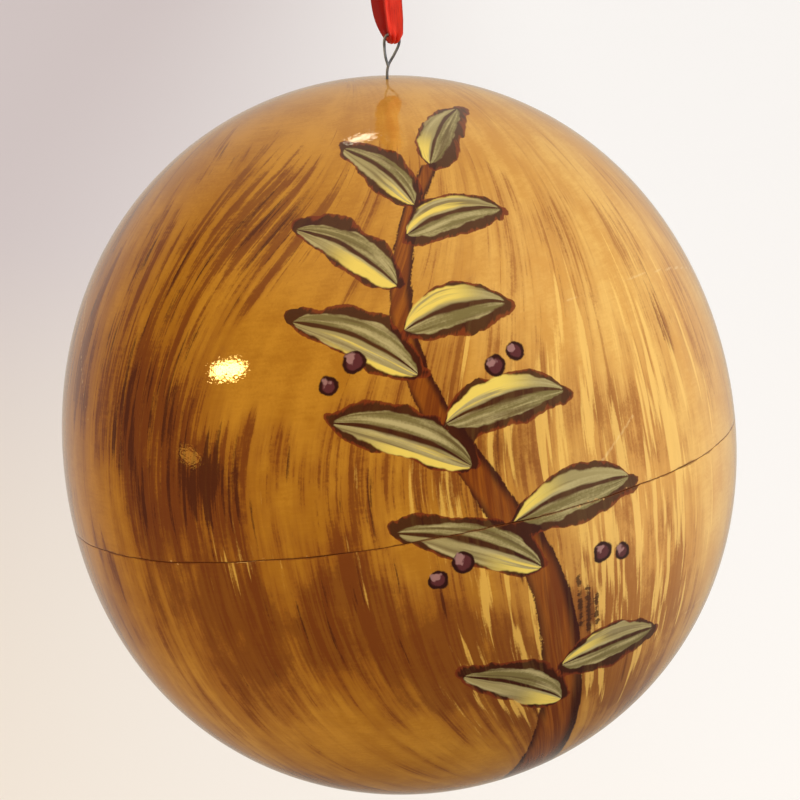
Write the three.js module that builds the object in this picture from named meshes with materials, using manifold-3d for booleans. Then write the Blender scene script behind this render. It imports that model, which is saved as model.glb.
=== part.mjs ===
// A hollow papier-mache bauble in two half shells, hung by a ribbon loop from a bent wire eye.
// Millimetres, +Z up. The origin is the inside of the ribbon loop's top, where a hook or twig
// carries it. The front looks towards -Y. The ball hangs below the origin, and its own axis leans,
// because the wire eye sits a little off its pole.
import * as THREE from "three";
import { mergeVertices } from "three/addons/utils/BufferGeometryUtils.js";
import Module from "manifold-3d";

const wasm = await Module();
wasm.setup();

// Ball
const equatorRadius = 40;
const poleHeight = 42.8; // from the ball's centre to either pole
const eggTaper = 0.021; // the upper half is this share slimmer, and the lower one fuller
const shoulderFullness = 0.011; // how much fuller than an ellipse the shoulders are
const wall = 2;
const seamDrop = 3.5; // the seam lies this far below the ball's centre
const seamGap = 0.3;
const leanLeft = 8.6; // degrees, of the ball's axis from the vertical
const leanBack = 3.8;

// Inner lip of the lower shell, which the upper shell slides down over
const lipHeight = 5; // above the seam
const lipDepth = 6; // below the seam
const lipWall = 1.2;
const lipClearance = 0.3;
const lipTaper = 2.5; // height of the slope by which the lip grows out of the wall

// Wire eye
const wireDiameter = 0.32;
const eyeRise = 5.2; // from the shell to the middle of the wire at the top of the bow
const bowHalfWidth = 0.87; // to the middle of the wire
const shankOffset = 0.62; // the shank enters the shell this far to the left of the bow's middle
const wireGap = 0.3;
const wireFoot = 2.4; // length of the bend inside the shell
const wireFootRadius = 0.6;
const wireFootDrop = 0.18; // how much lower the foot lies than the gap under the wall
const tailGap = 0.06; // between the shank and the wire's end in front of it

// The wire's foot, from its tip to the shank, as shares: [of the foot's length to the right, of the
// bend's radius to the right, of the bend's radius up].
const footBend = [
  [1, 0, 0],
  [0.6, 0, 0],
  [0, 0.8, 1 / 30],
  [0, 0.15, 0.6],
  [0, 0, 1.5],
];

// The shank and the bow, up, round and back down, as shares: [of the shank's offset to the right,
// of the bow's half width to the right, of the way to the tail's front, of the eye's rise].
const bowBend = [
  [-1, 0, 0, 0],
  [-0.9, 0, 0, 0.22],
  [-0.5, 0, 0, 0.36],
  [0, 0.2, 0, 0.52],
  [0, 0.76, 0, 0.7],
  [0, 1, 0, 0.85],
  [0, 0.72, 0, 0.96],
  [0, 0, 0, 1],
  [0, -0.72, 0, 0.96],
  [0, -1, 0, 0.85],
  [0, -0.99, 0.25, 0.68],
  [0, -0.88, 0.7, 0.5],
  [-0.92, 0, 1, 0.36],
  [-0.72, 0, 1.05, 0.27],
];

// Ribbon
const ribbonWidth = 3;
const ribbonThickness = 0.5;
const bunchWidth = 0.9; // across the folds, where the ribbon passes through the eye
const bunchThickness = 0.45;
const ribbonTurn = 30; // degrees, of the loop's plane about the vertical
const ribbonClearance = 0.335; // between the bunched ribbon and the wire that it bears on
const bunchOverlap = 0.8;
const wideRise = 1.1; // above the wire, where the ribbon opens to its full width

// How finely the round forms are divided
const aroundShell = 48;
const outerSteps = 12;
const innerSteps = 8;
const lipOuterSteps = 2;
const lipInnerSteps = 3;
const wireSides = 8;
const wireSteps = 56;
const wideSteps = 40;
const bunchSteps = 14;
const halvings = 50;
const axisTolerance = 1e-6; // a point closer to the axis than this is on it
const mergeTolerance = 1e-4; // points closer than this are one

const radians = THREE.MathUtils.degToRad;

// One side of the ribbon's route in its own plane, [across, height], from under the wire's bow up
// to the top of the loop. The other side mirrors it.
const ribbonSide = [
  [0, -36.74],
  [0.52, -36.52],
  [0.74, -36],
  [0.78, -35.2],
  [0.95, -33],
  [1.4, -29],
  [2.1, -24],
  [2.9, -18],
  [3.6, -12],
  [3.95, -7.5],
  [3.85, -4],
  [3.05, -1.4],
  [1.65, -0.1],
  [0, 0.25],
];

// The ball's outline: the distance from its centre at an angle down from the upper pole.
// An ellipse, made a little fuller at the shoulders and tapered towards the top.
function ballRadius(angle, inset = 0) {
  const equator = equatorRadius - inset;
  const pole = poleHeight - inset;
  const ellipse =
    (equator * pole) / Math.hypot(equator * Math.cos(angle), pole * Math.sin(angle));
  const shoulders = shoulderFullness * Math.sin(2 * angle) ** 2;
  const egg = eggTaper * Math.cos(angle) * Math.sin(angle) ** 2;
  return ellipse * (1 + shoulders - egg);
}

function outlinePoint(angle, inset = 0) {
  const r = ballRadius(angle, inset);
  return new THREE.Vector2(r * Math.sin(angle), r * Math.cos(angle));
}

// The angle at which the outline is at a given height along the axis, by halving.
function angleAtHeight(height, inset = 0) {
  let low = 0;
  let high = Math.PI;
  for (let i = 0; i < halvings; i++) {
    const middle = (low + high) / 2;
    if (outlinePoint(middle, inset).y > height) low = middle;
    else high = middle;
  }
  return (low + high) / 2;
}

// Points of the outline between two angles, both ends included.
function outlineArc(from, to, steps, inset = 0) {
  const points = [];
  for (let i = 0; i <= steps; i++) {
    const point = outlinePoint(from + ((to - from) * i) / steps, inset);
    if (point.x < axisTolerance) point.x = 0;
    points.push(point);
  }
  return points;
}

// Turns a closed profile about the axis, which becomes Z. Lathes turn about Y.
function turned(points) {
  const geometry = new THREE.LatheGeometry(points, aroundShell);
  geometry.rotateX(Math.PI / 2);
  return geometry;
}

function solidOf(geometry) {
  const bare = geometry.clone();
  bare.deleteAttribute("normal");
  bare.deleteAttribute("uv");
  const merged = mergeVertices(bare, mergeTolerance);
  const mesh = new wasm.Mesh({
    numProp: 3,
    vertProperties: merged.attributes.position.array,
    triVerts: new Uint32Array(merged.index.array),
  });
  return new wasm.Manifold(mesh);
}

function geometryOf(solid) {
  const mesh = solid.getMesh();
  const geometry = new THREE.BufferGeometry();
  geometry.setAttribute("position", new THREE.BufferAttribute(mesh.vertProperties, 3));
  geometry.setIndex(new THREE.BufferAttribute(mesh.triVerts, 1));
  geometry.computeVertexNormals();
  return geometry;
}

// A tube of any section along a curve, closed at both ends.
function swept(section, curve, steps) {
  return new THREE.ExtrudeGeometry(section, {
    steps,
    extrudePath: curve,
    bevelEnabled: false,
  });
}

function roundSection(radius, sides) {
  const shape = new THREE.Shape();
  for (let i = 0; i < sides; i++) {
    const a = (2 * Math.PI * i) / sides;
    if (i === 0) shape.moveTo(radius * Math.cos(a), radius * Math.sin(a));
    else shape.lineTo(radius * Math.cos(a), radius * Math.sin(a));
  }
  return shape;
}

// A flat band with its long edges eased, eight sides in all.
function bandSection(width, thickness) {
  const x = width / 2;
  const y = thickness / 2;
  const ease = thickness / 4;
  return new THREE.Shape([
    new THREE.Vector2(x, -y + ease),
    new THREE.Vector2(x, y - ease),
    new THREE.Vector2(x - ease, y),
    new THREE.Vector2(-x + ease, y),
    new THREE.Vector2(-x, y - ease),
    new THREE.Vector2(-x, -y + ease),
    new THREE.Vector2(-x + ease, -y),
    new THREE.Vector2(x - ease, -y),
  ]);
}

// Materials. Each half shell has its own, so that they can be told apart and finished apart.
const upperPaper = new THREE.MeshStandardMaterial({
  color: 0xc98f3f,
  roughness: 0.18,
  metalness: 0,
});
const lowerPaper = upperPaper.clone();
const steelWire = new THREE.MeshStandardMaterial({
  color: 0x6d6a66,
  roughness: 0.4,
  metalness: 1,
});
const redSatin = new THREE.MeshStandardMaterial({
  color: 0xc4160c,
  roughness: 0.45,
  metalness: 0,
});

// Where the ball hangs: the bow bears on the ribbon's lowest point, and the ball's centre is
// straight below the bow, with its axis leaning left and back.
const ballAxis = new THREE.Vector3(
  -Math.tan(radians(leanLeft)),
  Math.tan(radians(leanBack)),
  1,
).normalize();
const hangAngle = ballAxis.angleTo(new THREE.Vector3(0, 0, 1));
const ribbonLow = Math.min(...ribbonSide.map(([, height]) => height));
const bowTop = ribbonLow + bunchThickness / 2 + ribbonClearance + wireDiameter / 2;
const shellTop = bowTop - eyeRise;
const ballCentre = new THREE.Vector3(0, 0, shellTop - ballRadius(hangAngle));

// The rims at the seam, as heights along the ball's axis
const upperRim = -seamDrop + seamGap / 2;
const lowerRim = -seamDrop - seamGap / 2;

// Upper shell. Its profile runs from the inner pole down to the rim and up to the outer pole.
function upperShell() {
  const rimAngle = angleAtHeight(upperRim);
  const innerRimAngle = angleAtHeight(upperRim, wall);
  const inner = outlineArc(0, innerRimAngle, innerSteps, wall);
  const outer = outlineArc(rimAngle, 0, outerSteps);
  return turned([...inner, ...outer]);
}

// Lower shell: the same wall, with a lip inside its rim that stands up into the upper shell.
// Its profile runs from the outer pole up to the rim, over the lip and down to the inner pole.
function lowerShell() {
  const lipInset = wall + lipClearance;
  const lipInnerInset = lipInset + lipWall;
  const lipTop = -seamDrop + lipHeight;
  const lipFoot = -seamDrop - lipDepth;
  const outer = outlineArc(Math.PI, angleAtHeight(lowerRim), outerSteps);
  const lipOuter = outlineArc(
    angleAtHeight(lowerRim, lipInset),
    angleAtHeight(lipTop, lipInset),
    lipOuterSteps,
    lipInset,
  );
  const lipInner = outlineArc(
    angleAtHeight(lipTop, lipInnerInset),
    angleAtHeight(lipFoot + lipTaper, lipInnerInset),
    lipInnerSteps,
    lipInnerInset,
  );
  const inner = outlineArc(angleAtHeight(lipFoot, wall), Math.PI, innerSteps, wall);
  return turned([...outer, ...lipOuter, ...lipInner, ...inner]);
}

// The wire: a foot bent inside the shell, a shank up through the hole, and a drop-shaped bow
// whose end comes back down in front of the shank.
function wireCurve() {
  const footLow = -wall - wireGap - wireDiameter / 2 - wireFootDrop;
  const tailFront = -wireDiameter - tailGap;
  const foot = footBend.map(
    ([length, radius, up]) =>
      new THREE.Vector3(
        -shankOffset + wireFoot * length + wireFootRadius * radius,
        0,
        footLow + wireFootRadius * up,
      ),
  );
  const bow = bowBend.map(
    ([shank, half, front, up]) =>
      new THREE.Vector3(shankOffset * shank + bowHalfWidth * half, tailFront * front, eyeRise * up),
  );
  return new THREE.CatmullRomCurve3([...foot, ...bow], false, "centripetal");
}

// Where one side of the ribbon passes a height.
function sidePoint(side, height) {
  const above = side.findIndex((p) => p.z > height);
  const a = side[above - 1];
  const b = side[above];
  return a.clone().lerp(b, (height - a.z) / (b.z - a.z));
}

function sweptBand(width, thickness, points, steps) {
  const curve = new THREE.CatmullRomCurve3(points, false, "centripetal");
  return solidOf(swept(bandSection(width, thickness), curve, steps));
}

// The wide loop, and the bunched ribbon that passes through the eye and joins its two ends.
function ribbonSolid() {
  const right = ribbonSide.map(([across, height]) => new THREE.Vector3(0, across, height));
  const left = right.map((p) => new THREE.Vector3(0, -p.y, p.z));
  const wideStart = bowTop + wideRise;
  const bunchEnd = wideStart + bunchOverlap;
  const isWide = (p) => p.z >= wideStart;
  const isBunched = (p) => p.z < wideStart;
  // Up the right side, over the top and down the left one. The top is on both sides.
  const widePoints = [
    sidePoint(right, wideStart),
    ...right.filter(isWide),
    ...left.filter(isWide).reverse().slice(1),
    sidePoint(left, wideStart),
  ];
  // Down the left side, under the bow and up the right one. The lowest point is on both sides.
  const bunchPoints = [
    sidePoint(left, bunchEnd),
    ...left.filter(isBunched).reverse(),
    ...right.filter(isBunched).slice(1),
    sidePoint(right, bunchEnd),
  ];
  const wide = sweptBand(ribbonWidth, ribbonThickness, widePoints, wideSteps);
  const bunch = sweptBand(bunchWidth, bunchThickness, bunchPoints, bunchSteps);
  return geometryOf(wide.add(bunch));
}

const bauble = new THREE.Group();
const ball = new THREE.Group();
ball.position.copy(ballCentre);
ball.quaternion.setFromUnitVectors(new THREE.Vector3(0, 0, 1), ballAxis);
bauble.add(ball);

// The hole in the upper shell is drilled along the vertical shank.
const drill = new THREE.CylinderGeometry(
  wireDiameter / 2 + wireGap,
  wireDiameter / 2 + wireGap,
  4 * wall,
  wireSides * 2,
);
drill.rotateX(Math.PI / 2);
drill.translate(-shankOffset, 0, ballRadius(hangAngle) - wall / 2);
drill.applyQuaternion(ball.quaternion.clone().invert());

const upper = new THREE.Mesh(
  geometryOf(solidOf(upperShell()).subtract(solidOf(drill))),
  upperPaper,
);
upper.name = "upper_shell";
ball.add(upper);

const lower = new THREE.Mesh(geometryOf(solidOf(lowerShell())), lowerPaper);
lower.name = "lower_shell";
ball.add(lower);

const wire = new THREE.Mesh(
  swept(roundSection(wireDiameter / 2, wireSides), wireCurve(), wireSteps),
  steelWire,
);
wire.name = "wire_eye";
wire.position.set(0, 0, shellTop);
bauble.add(wire);

const ribbon = new THREE.Mesh(ribbonSolid(), redSatin);
ribbon.name = "ribbon";
ribbon.rotation.z = radians(ribbonTurn);
bauble.add(ribbon);

export default bauble;
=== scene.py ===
# %% [markdown]
# A papier-mache bauble, hung by a satin ribbon
#
# The real thing is a hollow ball of pasted paper in two half shells, brushed with ochre, grained
# with brown glaze by a nearly dry brush, painted with a sprig and varnished. A bent steel wire
# carries it on a red ribbon. The CAD frame gives the sizes and places, and this lesson dresses it:
# each surface is a function of two parameters, worked out with numpy.

# %% Load the frame
import math

import bpy
import numpy as np
from mathutils import Matrix, Quaternion, Vector


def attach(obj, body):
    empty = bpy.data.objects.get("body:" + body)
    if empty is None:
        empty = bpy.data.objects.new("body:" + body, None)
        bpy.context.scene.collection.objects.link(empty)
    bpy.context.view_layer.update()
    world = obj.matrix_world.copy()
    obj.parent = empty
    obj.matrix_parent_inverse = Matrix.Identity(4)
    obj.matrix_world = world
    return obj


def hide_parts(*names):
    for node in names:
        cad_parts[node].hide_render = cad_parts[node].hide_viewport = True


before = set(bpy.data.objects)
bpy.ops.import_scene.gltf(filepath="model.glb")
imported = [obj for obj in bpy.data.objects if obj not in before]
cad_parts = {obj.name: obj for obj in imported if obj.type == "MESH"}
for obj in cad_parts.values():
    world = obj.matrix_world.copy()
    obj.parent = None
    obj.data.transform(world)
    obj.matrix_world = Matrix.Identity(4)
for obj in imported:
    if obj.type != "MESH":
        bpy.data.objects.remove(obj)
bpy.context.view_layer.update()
scene = bpy.context.scene
MM = 0.001
print("nodes:", sorted(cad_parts))

# %% [markdown]
# The camera is aimed at the ball and the paint follows it, so its form comes first. It could be
# drawn point by point, but a formula stays smooth at any fineness: an ellipse, a little fuller at
# the shoulders and tapered towards the top. The wire sits off the pole, so the ball hangs aslant,
# and all that is on it turns with it.

# %% The ball's form
EQUATOR_RADIUS = 40 * MM
POLE_HEIGHT = 42.8 * MM
EGG_TAPER = 0.021
SHOULDER_FULLNESS = 0.011
WALL = 2 * MM
SEAM_DROP = 3.5 * MM
LEAN_LEFT = math.radians(8.6)
LEAN_BACK = math.radians(3.8)
EYE_RISE = 5.2 * MM
SHANK_OFFSET = 0.62 * MM
BOW_TOP = -36 * MM


def ball_radius(angle, inset=0.0):
    """Distance from the ball's centre at an angle down from its upper pole: the polar form of an
    ellipse, times one plus the shoulders' share, less the taper's share."""
    equator, pole = EQUATOR_RADIUS - inset, POLE_HEIGHT - inset
    ellipse = equator * pole / np.hypot(equator * np.cos(angle), pole * np.sin(angle))
    shoulders = SHOULDER_FULLNESS * np.sin(2 * angle) ** 2
    egg = EGG_TAPER * np.cos(angle) * np.sin(angle) ** 2
    return ellipse * (1 + shoulders - egg)


def unit(vectors):
    """Vectors divided by their own lengths."""
    return vectors / np.linalg.norm(vectors, axis=-1, keepdims=True)


def bell(x):
    """One at 0, and fading to both sides: the exponential of minus the square."""
    return np.exp(-(x**2))


ball_axis = unit(np.array([-math.tan(LEAN_LEFT), math.tan(LEAN_BACK), 1.0]))
# The smallest turn that takes the world's up to the ball's axis.
BALL_TURN = np.array(Vector((0, 0, 1)).rotation_difference(Vector(ball_axis)).to_matrix())
hang_angle = math.acos(ball_axis[2])
BALL_CENTRE = np.array([0, 0, BOW_TOP - EYE_RISE - ball_radius(hang_angle)])
print("ball centre, m:", BALL_CENTRE.round(4), "axis:", ball_axis.round(4))

# %% [markdown]
# The camera stands about 0.32 m from the ball's centre and looks down on it by 15 degrees. It
# could be aimed by eye, but here it is placed from where the ball's centre lies in the picture, so
# the outline falls where the real one does. A long lens keeps that outline nearly parallel.

# %% Camera
PICTURE = 800  # pixels across and down
FOCAL_PIXELS = 2670
BALL_IN_PICTURE = (398.2, 434.4)
CAMERA_DISTANCE = 320 * MM
CAMERA_TILT = math.radians(15.0)
CAMERA_ROLL = math.radians(0.9)
SENSOR = 36.0  # mm

# An unturned camera looks straight down. It is raised about X, then rolled about its own beam.
camera_turn = (Matrix.Rotation(math.pi / 2 - CAMERA_TILT, 3, "X")
               @ Matrix.Rotation(-CAMERA_ROLL, 3, "Z"))
# The ball's centre as the camera sees it: to the right, up and away from the lens.
centre_seen = CAMERA_DISTANCE * np.array([
    (BALL_IN_PICTURE[0] - PICTURE / 2) / FOCAL_PIXELS,
    (PICTURE / 2 - BALL_IN_PICTURE[1]) / FOCAL_PIXELS,
    -1.0,
])
camera_place = BALL_CENTRE - np.array(camera_turn) @ centre_seen
camera = bpy.data.objects.new("camera", bpy.data.cameras.new("camera"))
camera.data.sensor_width = SENSOR
camera.data.lens = SENSOR * FOCAL_PIXELS / PICTURE
camera.data.clip_start = 0.01
camera.matrix_world = Matrix.LocRotScale(Vector(camera_place), camera_turn, None)
scene.collection.objects.link(camera)
scene.camera = camera
scene.view_settings.view_transform = "Standard"
print("camera at, m:", camera_place.round(4), "lens, mm:", round(camera.data.lens, 1))

# %% [markdown]
# Every piece here is a grid of points, so its faces follow from row and column numbers. Rows may
# close on themselves, as in the ribbon's loop, and so may columns. A ball and a wire close at both
# ends on a pole: one vertex with a fan of triangles.

# %% Helpers for meshes
def quads(rows, columns, close_rows=False):
    """Corner numbers of the quads of a grid whose columns close on themselves, as its rows may."""
    r, c = np.indices((rows if close_rows else rows - 1, columns)).reshape(2, -1)
    r2, c2 = (r + 1) % rows, (c + 1) % columns
    return np.stack([r * columns + c, r * columns + c2, r2 * columns + c2, r2 * columns + c], 1)


def quads_and_poles(rows, columns):
    """Faces of a grid whose first and last row each close on a pole. The two poles follow the
    grid's own points."""
    edge = np.c_[np.arange(columns), (np.arange(columns) + 1) % columns]
    pole = np.full((columns, 1), rows * columns)
    last_edge = (rows - 1) * columns + edge
    return [quads(rows, columns), np.r_[np.c_[pole, edge[:, ::-1]], np.c_[last_edge, pole + 1]]]


def enclosed(points, faces):
    """Volume in a closed surface, negative where its faces point inwards: a sixth of the sum of
    its triangles' triple products."""
    total = 0.0
    for group in faces:
        a, *rest = points[group.T]
        for b, c in zip(rest, rest[1:]):
            total += np.sum(a * np.cross(b, c)) / 6
    return total


def new_piece(name, points, faces, fields=(), closed=True):
    """A mesh object at the origin. faces are arrays of corner numbers, one for each number of
    corners. fields give each vertex three values, by name. A closed piece's faces point out."""
    if closed and enclosed(points, faces) < 0:
        faces = [group[:, ::-1] for group in faces]
    mesh = bpy.data.meshes.new(name)
    mesh.from_pydata(points.tolist(), [], [face for group in faces for face in group.tolist()])
    for field, values in dict(fields).items():
        layer = mesh.attributes.new(field, "FLOAT_VECTOR", "POINT")
        layer.data.foreach_set("vector", np.stack(values, -1).astype(np.float32).ravel())
    mesh.polygons.foreach_set("use_smooth", np.ones(len(mesh.polygons), bool))
    mesh.update()
    piece = bpy.data.objects.new(name, mesh)
    scene.collection.objects.link(piece)
    print(name, "faces:", len(mesh.polygons))
    return piece

# %% [markdown]
# A finish is a net of nodes, and one function adds any node. Others put nodes together as a maker
# works: a pattern of a real size, the places where a paint takes, and one paint laid over another.
# Pictures of paint would be quicker, but they blur when seen closely.

# %% Helpers for finishes
def linear(colour):
    """An sRGB hex colour as linear red, green, blue and alpha."""
    s = np.array([int(colour[i:i + 2], 16) for i in (0, 2, 4)]) / 255
    return [*np.where(s <= 0.04045, s / 12.92, ((s + 0.055) / 1.055) ** 2.4).tolist(), 1.0]


def plug(tree, sockets, inputs):
    """Gives inputs, by name or number, a value, a hex colour or another node's output."""
    for key, value in inputs.items():
        if isinstance(value, bpy.types.NodeSocket):
            tree.links.new(value, sockets[key])
        else:
            sockets[key].default_value = linear(value) if isinstance(value, str) else value


def node(tree, kind, inputs, output=0, **settings):
    """Adds a node with its settings and links, and gives one of its outputs, or all for None."""
    new = tree.nodes.new("ShaderNode" + kind)
    for key, value in settings.items():
        setattr(new, key, value)
    plug(tree, new.inputs, inputs)
    return new.outputs if output is None else new.outputs[output]


def new_material(name, *pieces):
    """Puts a new material on these pieces, and gives its tree of nodes and its shader."""
    material = bpy.data.materials.new(name)
    material.use_nodes = True
    tree = material.node_tree
    tree.nodes.clear()
    shader = tree.nodes.new("ShaderNodeBsdfPrincipled")
    node(tree, "OutputMaterial", {0: shader.outputs[0]}, None)
    for piece in pieces:
        piece.data.materials.append(material)
    return tree, shader


def pattern(tree, place, sizes, shift=(0, 0, 0), detail=2.0, roughness=0.5):
    """Noise whose spots have about these sizes along the directions of place, in its own unit."""
    scaled = node(tree, "Mapping", {"Vector": place, "Scale": [1 / size for size in sizes],
                                    "Location": shift})
    return node(tree, "TexNoise", {"Vector": scaled, "Scale": 1.0, "Detail": detail,
                                   "Roughness": roughness})


def weighed(tree, start, *terms):
    """A start value plus each other value times its weight."""
    for value, weight in terms:
        start = node(tree, "Math", {0: value, 1: weight, 2: start}, operation="MULTIPLY_ADD")
    return start


def summed(tree, start, *noises):
    """A start value and some noises, each less its mean of one half and times its weight."""
    means = sum(weight for _, weight in noises) / 2
    return weighed(tree, start, *noises, (means, -1.0)) if noises else start


def cover(tree, low, high, start, *noises):
    """How far a paint takes: none where the sum is at low, all where it is at high, and a smooth
    step between the two. Low may be the greater one."""
    total = summed(tree, start, *noises)
    return node(tree, "MapRange", {"Value": total, "From Min": low, "From Max": high},
                interpolation_type="SMOOTHSTEP")


def over(tree, under, *coats):
    """Coats laid one after another over what is under them. Each is a tone and how far it covers,
    as one share or as several to be multiplied."""
    for tone, covered, *shares in coats:
        for share in shares:
            covered = node(tree, "Math", {0: covered, 1: share}, operation="MULTIPLY")
        under = node(tree, "Mix", {0: covered, 6: under, 7: tone}, 2, data_type="RGBA")
    return under

# %% [markdown]
# The ribbon is 3 mm satin. It bunches into folds in the wire's bow, and both sides run up to a
# loop that a hook holds just outside the view. Its middle line repeats the CAD route. Above the
# bow both sides sag a little to the left.

# %% Ribbon: its route
RIBBON_WIDTH = 3.0 * MM
RIBBON_THICKNESS = 0.14 * MM
RIBBON_TURN = math.radians(30)
ROUTE_STEPS = 420
SAG_LEFT, SAG_AT = 0.75 * MM, 9 * MM
# One side from under the bow to the loop's top, [across, height] in mm. The other mirrors it.
ribbon_side_mm = np.array([
    [0, -36.74], [0.52, -36.52], [0.74, -36], [0.78, -35.2], [0.95, -33], [1.4, -29],
    [2.1, -24], [2.9, -18], [3.6, -12], [3.95, -7.5], [3.85, -4], [3.05, -1.4],
    [1.65, -0.1], [0, 0.25],
])


def smooth_line(points, count, closed=False):
    """Points spaced evenly by length on a smooth curve: each stretch is the cubic through its two
    ends whose slopes there are half the step between the points on either side."""
    p = np.asarray(points, float)
    before, after = (p[-1], p[:2]) if closed else (2 * p[0] - p[1], 2 * p[-1] - p[-2])
    p = np.vstack([before, p, after])
    t = np.linspace(0, 1, 24, endpoint=False)[:, None, None]
    a, b, c, d = p[:-3], p[1:-2], p[2:-1], p[3:]
    fine = 0.5 * (2 * b + (c - a) * t + (2 * a - 5 * b + 4 * c - d) * t**2
                  + (3 * b - a - 3 * c + d) * t**3)
    fine = np.vstack([fine.transpose(1, 0, 2).reshape(-1, p.shape[1]), c[-1:]])
    along = np.r_[0, np.cumsum(np.linalg.norm(np.diff(fine, axis=0), axis=1))]
    places = np.linspace(0, along[-1], count, endpoint=not closed)
    return np.stack([np.interp(places, along, fine[:, i]) for i in range(p.shape[1])], 1)


other_side_mm = ribbon_side_mm[-2:0:-1] * [-1, 1]
ribbon_flat = smooth_line(np.vstack([ribbon_side_mm, other_side_mm]) * MM, ROUTE_STEPS, closed=True)
ribbon_out = np.array([-math.sin(RIBBON_TURN), math.cos(RIBBON_TURN), 0])  # in the loop's plane
ribbon_side = np.array([math.cos(RIBBON_TURN), math.sin(RIBBON_TURN), 0])  # across the ribbon
ribbon_line = ribbon_flat[:, :1] * ribbon_out + ribbon_flat[:, 1:] * [0, 0, 1]
# The sag is the height over the bow times its falling exponential, which peaks at SAG_AT.
sag_share = np.maximum(ribbon_line[:, 2] - BOW_TOP, 0) / SAG_AT
ribbon_line[:, 0] -= SAG_LEFT * sag_share * np.exp(1 - sag_share)
ribbon_length = np.linalg.norm(np.diff(ribbon_line, axis=0, append=ribbon_line[:1]), axis=1).sum()
print("ribbon length, mm:", round(ribbon_length / MM, 1))

# %% [markdown]
# Cloth simulation could fold the ribbon, but one so narrow keeps the folds that a thumb pressed
# into it. So a section is carried along the route: a zigzag in the bow, a gutter with a pleat
# above it, and nearly flat at the loop's top.

# %% Ribbon: its mesh
SECTION_STEPS = 26
ACROSS = np.linspace(-1, 1, SECTION_STEPS)  # places across each face
# How far up from the lowest point the bunch, the opening and the narrow part reach, in mm, and
# the shares of its width that the first and the last take away.
BUNCH_REACH, OPEN_REACH, NARROW_REACH = 1.15, 2.4, 11.0
BUNCHED, NARROWED = 0.34, 0.30
ZIGZAG, GUTTER, PLEAT, CURL = 0.40, 0.72, 0.24, 0.10  # how far they stand out, in mm
PLEAT_AT, PLEAT_SPREAD = 0.35, 0.20  # as shares of half the width


def ribbon_section(away, side_sign):
    """Offsets across the ribbon and out of its face, one row for each length away from the lowest
    point, in mm. Across is v, from -1 to 1, narrowed by the bunch and the narrow part. Out is a
    sine for the zigzag, less a power of v for the gutter, plus a bell for the pleat and a slight
    curl. Each part fades as a bell of the length."""
    v = ACROSS
    bunch, narrow = bell(away / BUNCH_REACH), bell(away / NARROW_REACH)
    opened = 1 - bell(away / OPEN_REACH)
    across = RIBBON_WIDTH / 2 * v * (0.98 - BUNCHED * bunch - NARROWED * narrow)
    zigzag = ZIGZAG * bunch * np.sin(2.2 * math.pi * v + 0.7 * side_sign)
    gutter = -GUTTER * narrow * opened * np.abs(v - 0.12 * side_sign) ** 1.7
    pleat = PLEAT * narrow * opened * bell((v - PLEAT_AT * side_sign) / PLEAT_SPREAD)
    curl = CURL * ((1 - narrow) * v**2 + 0.5 * np.sin(0.9 * away + 3 * v) * opened)
    return across, MM * (zigzag + gutter + pleat + curl)


tangent = unit(np.roll(ribbon_line, -1, 0) - np.roll(ribbon_line, 1, 0))
face_out = np.cross(ribbon_side, tangent)
steps = np.arange(ROUTE_STEPS)[:, None]
step_mm = ribbon_length / MM / ROUTE_STEPS
side_sign = np.tanh(ribbon_flat[:, :1] / MM * 3)
across, lift = ribbon_section(np.minimum(steps, ROUTE_STEPS - steps) * step_mm, side_sign)
middle = (ribbon_line[:, None] + across[..., None] * ribbon_side
          + lift[..., None] * face_out[:, None])
# The two faces lie half the thickness off the middle, along its own normal. The edges are firmer.
along_step = np.roll(middle, -1, 0) - np.roll(middle, 1, 0)
normal = unit(np.cross(np.gradient(middle, axis=1), along_step))
edge_swell = 1 + 0.5 * np.abs(ACROSS[:, None]) ** 12
offset = normal * edge_swell * RIBBON_THICKNESS / 2
points = np.concatenate([middle + offset, (middle - offset)[:, ::-1]], axis=1).reshape(-1, 3)
# Where each vertex lies in the weave: across and along in mm, and 0 at the back or 1 in front.
# The back gets a painted shade.
across_mm = np.r_[ACROSS, ACROSS[::-1]] * RIBBON_WIDTH / 2 / MM
weave = np.broadcast_arrays(across_mm, steps * step_mm, np.repeat([0.0, 1.0], SECTION_STEPS))
faces = [quads(ROUTE_STEPS, 2 * SECTION_STEPS, close_rows=True)]
ribbon = new_piece("satin_ribbon", points, faces, {"thread": weave})
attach(ribbon, "root")
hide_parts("ribbon")

# %% [markdown]
# Most warp threads of single-faced satin float along its surface, so it shines across them and the
# light runs in soft bands along each fold. The back is duller, and it is painted darker: painted
# shade that stands for the shadow on the loop's far leg. The selvedge is firm. The real threads are
# about 0.08 mm apart. They are drawn at 0.16 mm, so that they show. The pattern follows the weave's
# own coordinates, so it bends with the folds.

# %% Material: red satin
THREAD_GAP_MM = 0.16
FLOAT_MM = 9 * THREAD_GAP_MM  # how long a thread lies on the surface
tree, shader = new_material("red satin, back in painted shade", ribbon)
thread = node(tree, "Attribute", {}, "Vector", attribute_name="thread")
across, _, front = node(tree, "SeparateXYZ", {0: thread}, None)
floats = pattern(tree, thread, (THREAD_GAP_MM, FLOAT_MM, 1), roughness=0.6)
dye = pattern(tree, thread, (1.11, 2.86, 1))
selvedge = node(tree, "Math", {0: across}, operation="ABSOLUTE")
tone = over(tree, "e02a12", ("f43c20", cover(tree, 0.3, 0.7, dye)),
            # The back face is painted darker: painted shade for the shadow on the loop's far leg.
            ("8f0c06", weighed(tree, 0.85, (front, -0.85))),
            ("a80d05", cover(tree, 0.55, 0.35, floats), 0.35),
            ("9a0a05", cover(tree, 1.28, 1.42, selvedge), 0.5))
relief = node(tree, "Bump", {"Strength": 0.35, "Distance": 0.03 * MM, "Height": floats})
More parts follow.
